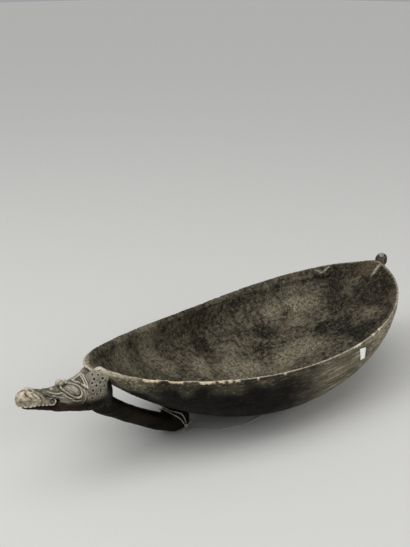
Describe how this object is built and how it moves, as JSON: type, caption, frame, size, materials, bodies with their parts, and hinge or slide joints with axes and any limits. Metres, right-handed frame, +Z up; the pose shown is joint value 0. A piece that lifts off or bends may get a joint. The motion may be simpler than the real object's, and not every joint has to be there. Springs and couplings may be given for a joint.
{
  "type": "carved wooden feast bowl",
  "caption": "Long boat-shaped carved wooden bowl with a crocodile head on a thick neck, a handle bar under the hull that ends in a foot, a lug at the tail and a twine tie",
  "frame": {"origin": "Middle of the small flat under the bowl, level with the surface that the bowl stands on", "axes": "+X along the bowl's length from the crocodile head at -X to the tail lug at +X; +Y across the bowl; +Z up"},
  "size_m": [0.8931, 0.3422, 0.1869],
  "materials": {
    "bowl_wood": "worn, oiled and dusty, with adze marks",
    "bar_wood": "dark, dry, rough",
    "head_wood": "dry, carved, with pale dust",
    "sticker_paper": "matt, blank",
    "twine": "twisted cotton string"
  },
  "bodies": {
    "root": {"bowl": "bowl_wood", "handle_bar": "bar_wood", "neck": "head_wood", "crocodile_head": "head_wood", "tail_lug": "bowl_wood", "paper_label": "sticker_paper", "cord_knot": "twine", "cord_turn": "twine", "cord_return": "twine", "cord_tail": "twine", "hanging_cord": "twine"}
  },
  "joints": []
}
